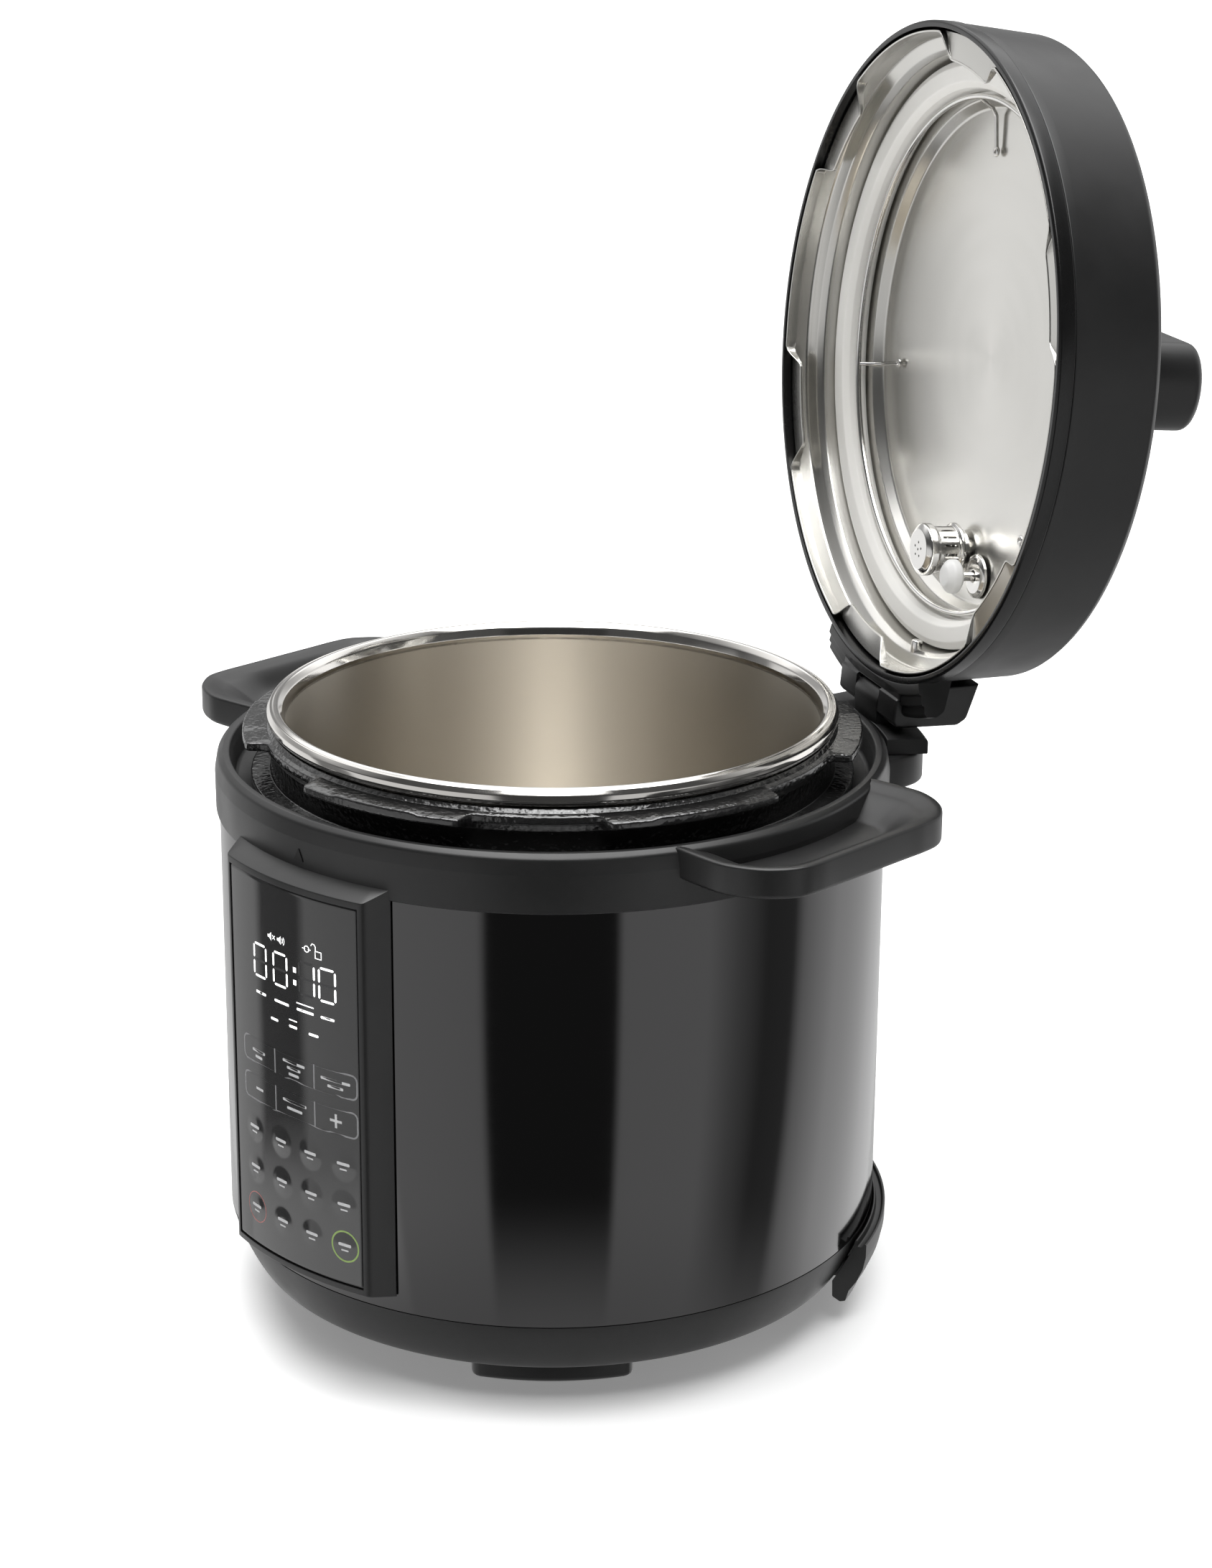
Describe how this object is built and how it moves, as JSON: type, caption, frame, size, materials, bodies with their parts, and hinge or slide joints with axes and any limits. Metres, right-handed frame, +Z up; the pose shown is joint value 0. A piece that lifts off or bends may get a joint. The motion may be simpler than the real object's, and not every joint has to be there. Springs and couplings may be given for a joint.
{
  "type": "slow cooker",
  "caption": "Upright round electric slow cooker and pressure multi-cooker with a lift-out steel pot, a touch panel, side handles and a hinged twist-lock lid held open.",
  "frame": {"origin": "on the floor under the feet, at the middle of the footprint box of the cooker with its lid open; the cooker's own upright axis is 17.4 mm towards -X and 53.7 mm towards -Y from it", "axes": "+Z up, the control panel faces -Y, the power inlet faces +Y, the side handles are at -X and +X"},
  "size_m": [0.389, 0.412, 0.539],
  "materials": {
    "steel_black": "dark, satin-bright",
    "steel_bright": "bright, finely brushed",
    "steel_brushed": "brushed",
    "aluminium": "machined",
    "enamel_black": "cast, with a textured black coating",
    "plastic_dark": "satin dark grey",
    "plastic_black": "satin black",
    "glass_black": "gloss, black",
    "silicone_clear": "milky silicone",
    "rubber": "matte",
    "board_green": "satin",
    "brass": "bright",
    "ink_dark": "matte print"
  },
  "bodies": {
    "cooker": {"outer_shell": "steel_black", "collar": "plastic_dark", "base_bowl": "plastic_dark", "foot_front_right": "plastic_black", "foot_rear_right": "plastic_black", "foot_rear_left": "plastic_black", "foot_front_left": "plastic_black", "foot_pad_front_right": "rubber", "foot_pad_rear_right": "rubber", "foot_pad_rear_left": "rubber", "foot_pad_front_left": "rubber", "base_screw_1": "steel_brushed", "base_screw_2": "steel_brushed", "base_screw_3": "steel_brushed", "base_screw_4": "steel_brushed", "cord_wrap_right": "plastic_black", "cord_wrap_left": "plastic_black", "inlet_socket": "plastic_black", "inlet_pin_1": "brass", "inlet_pin_2": "brass", "inlet_pin_3": "brass", "power_board": "board_green", "panel_bezel": "plastic_dark", "panel_glass": "glass_black", "index_mark": "ink_dark", "fixed_pot": "enamel_black", "heating_plate": "aluminium", "sensor_mount": "aluminium"},
    "carriage": {"hinge_carriage": "plastic_black", "hinge_pin": "steel_bright"},
    "lid": {"lid_cover": "plastic_dark", "lid_trim": "plastic_black", "lid_handle": "plastic_dark", "lid_liner": "steel_bright", "sealing_ring": "silicone_clear", "seal_rack": "steel_bright", "vent_shield": "steel_bright", "steam_pipe": "steel_bright", "float_seat": "steel_bright", "interlock_pin": "steel_bright"},
    "pot": {"inner_pot": "steel_brushed"},
    "float_valve": {"float_pin": "steel_bright", "float_cap": "silicone_clear"},
    "steam_release": {"steam_knob": "plastic_black"},
    "sensor": {"temp_sensor": "steel_bright"}
  },
  "joints": [
    {"name": "lock_turn", "type": "hinge", "parent": "cooker", "child": "carriage", "pos_m": [-0.0174, -0.0537, 0.236], "axis": [0, 0, 1], "range_deg": [0, 26.7]},
    {"name": "lid_hinge", "type": "hinge", "parent": "carriage", "child": "lid", "pos_m": [0.04968, 0.07968, 0.252], "axis": [-0.8934, 0.4493, 0], "range_deg": [-95.2, 0]},
    {"name": "pot_lift", "type": "slide", "parent": "cooker", "child": "pot", "axis": [0, 0, 1], "range_m": [0, 0.18]},
    {"name": "float_rise", "type": "slide", "parent": "lid", "child": "float_valve", "axis": [0.4475, 0.8897, -0.0906], "range_m": [0, 0.004]},
    {"name": "steam_knob_turn", "type": "hinge", "parent": "lid", "child": "steam_release", "pos_m": [0.07382, 0.12767, 0.31268], "axis": [0.4475, 0.8897, -0.0906], "range_deg": [0, 45]},
    {"name": "sensor_press", "type": "slide", "parent": "cooker", "child": "sensor", "axis": [0, 0, 1], "range_m": [-0.003, 0], "stiffness_N_per_m": 400, "springref_m": 0.002}
  ]
}
